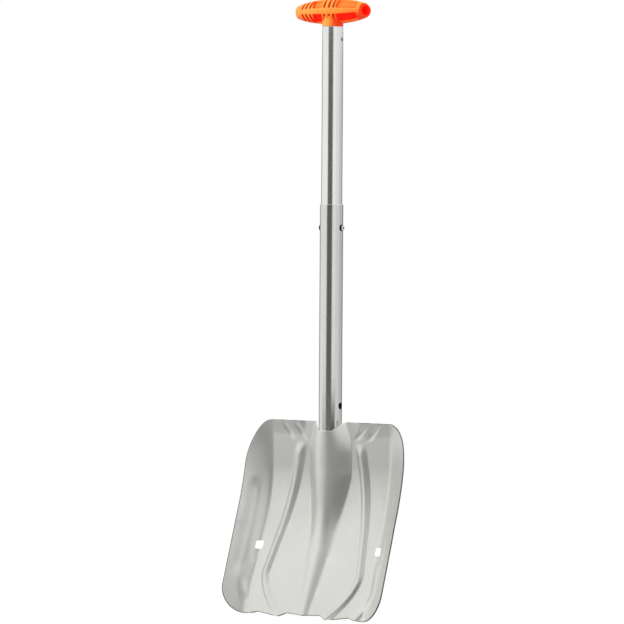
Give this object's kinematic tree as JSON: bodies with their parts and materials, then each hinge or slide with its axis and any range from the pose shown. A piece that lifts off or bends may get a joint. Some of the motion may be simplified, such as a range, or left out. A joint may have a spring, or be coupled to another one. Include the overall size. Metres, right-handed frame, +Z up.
{
  "type": "snow shovel",
  "caption": "Telescopic snow shovel: moulded T-grip, sliding tube shaft with sprung lock buttons and a ribbed pressed scoop blade that pulls off its socket.",
  "frame": {"origin": "centre of the bore along the grip", "axes": "+Z up the shaft towards the grip, +X along the grip towards its slanted end, -Y the way the blade's hollow faces"},
  "size_m": [0.2342, 0.0988, 0.7895],
  "materials": {
    "grip_plastic": "moulded, fine satin grain",
    "pin_steel": "plain steel pin",
    "upper_tube": "anodised, satin",
    "lower_tube": "anodised, satin",
    "plug_plastic": "moulded, matte",
    "spring_steel": "rolled spring strip",
    "button_steel": "polished",
    "blade_sheet": "anodised, fine satin",
    "bracket_sheet": "anodised, satin",
    "weld_metal": "rippled weld bead"
  },
  "bodies": {
    "handle": {"grip": "grip_plastic", "grip_pin": "pin_steel", "upper_shaft": "upper_tube", "upper_shaft_plug": "plug_plastic", "lock_clip_base": "spring_steel"},
    "right_lock": {"right_lock_arm": "button_steel"},
    "left_lock": {"left_lock_arm": "button_steel"},
    "lower_shaft": {"lower_shaft": "lower_tube", "lower_shaft_plug": "plug_plastic", "blade_clip_base": "spring_steel"},
    "blade_lock": {"blade_lock_arm": "button_steel"},
    "blade": {"blade": "blade_sheet", "socket_back": "bracket_sheet", "socket_welds": "weld_metal"}
  },
  "joints": [
    {"name": "telescope", "type": "slide", "parent": "handle", "child": "lower_shaft", "axis": [0, 0, 1], "range_m": [0, 0.229], "deforming": ["right_lock_arm", "left_lock_arm"]},
    {"name": "right_button", "type": "hinge", "parent": "handle", "child": "right_lock", "pos_m": [0.01094, 0, -0.312], "axis": [0, -1, 0], "range_deg": [0, 7.6], "stiffness_Nm_per_rad": 2},
    {"name": "left_button", "type": "hinge", "parent": "handle", "child": "left_lock", "pos_m": [-0.01094, 0, -0.312], "axis": [0, 1, 0], "range_deg": [0, 7.6], "stiffness_Nm_per_rad": 2},
    {"name": "blade_button", "type": "hinge", "parent": "lower_shaft", "child": "blade_lock", "pos_m": [0, 0.01241, -0.6125], "axis": [1, 0, 0], "range_deg": [0, 7.2], "stiffness_Nm_per_rad": 2},
    {"name": "blade_release", "type": "slide", "parent": "lower_shaft", "child": "blade", "axis": [0, 0, -1], "range_m": [0, 0.12], "deforming": ["blade_lock_arm"]}
  ]
}
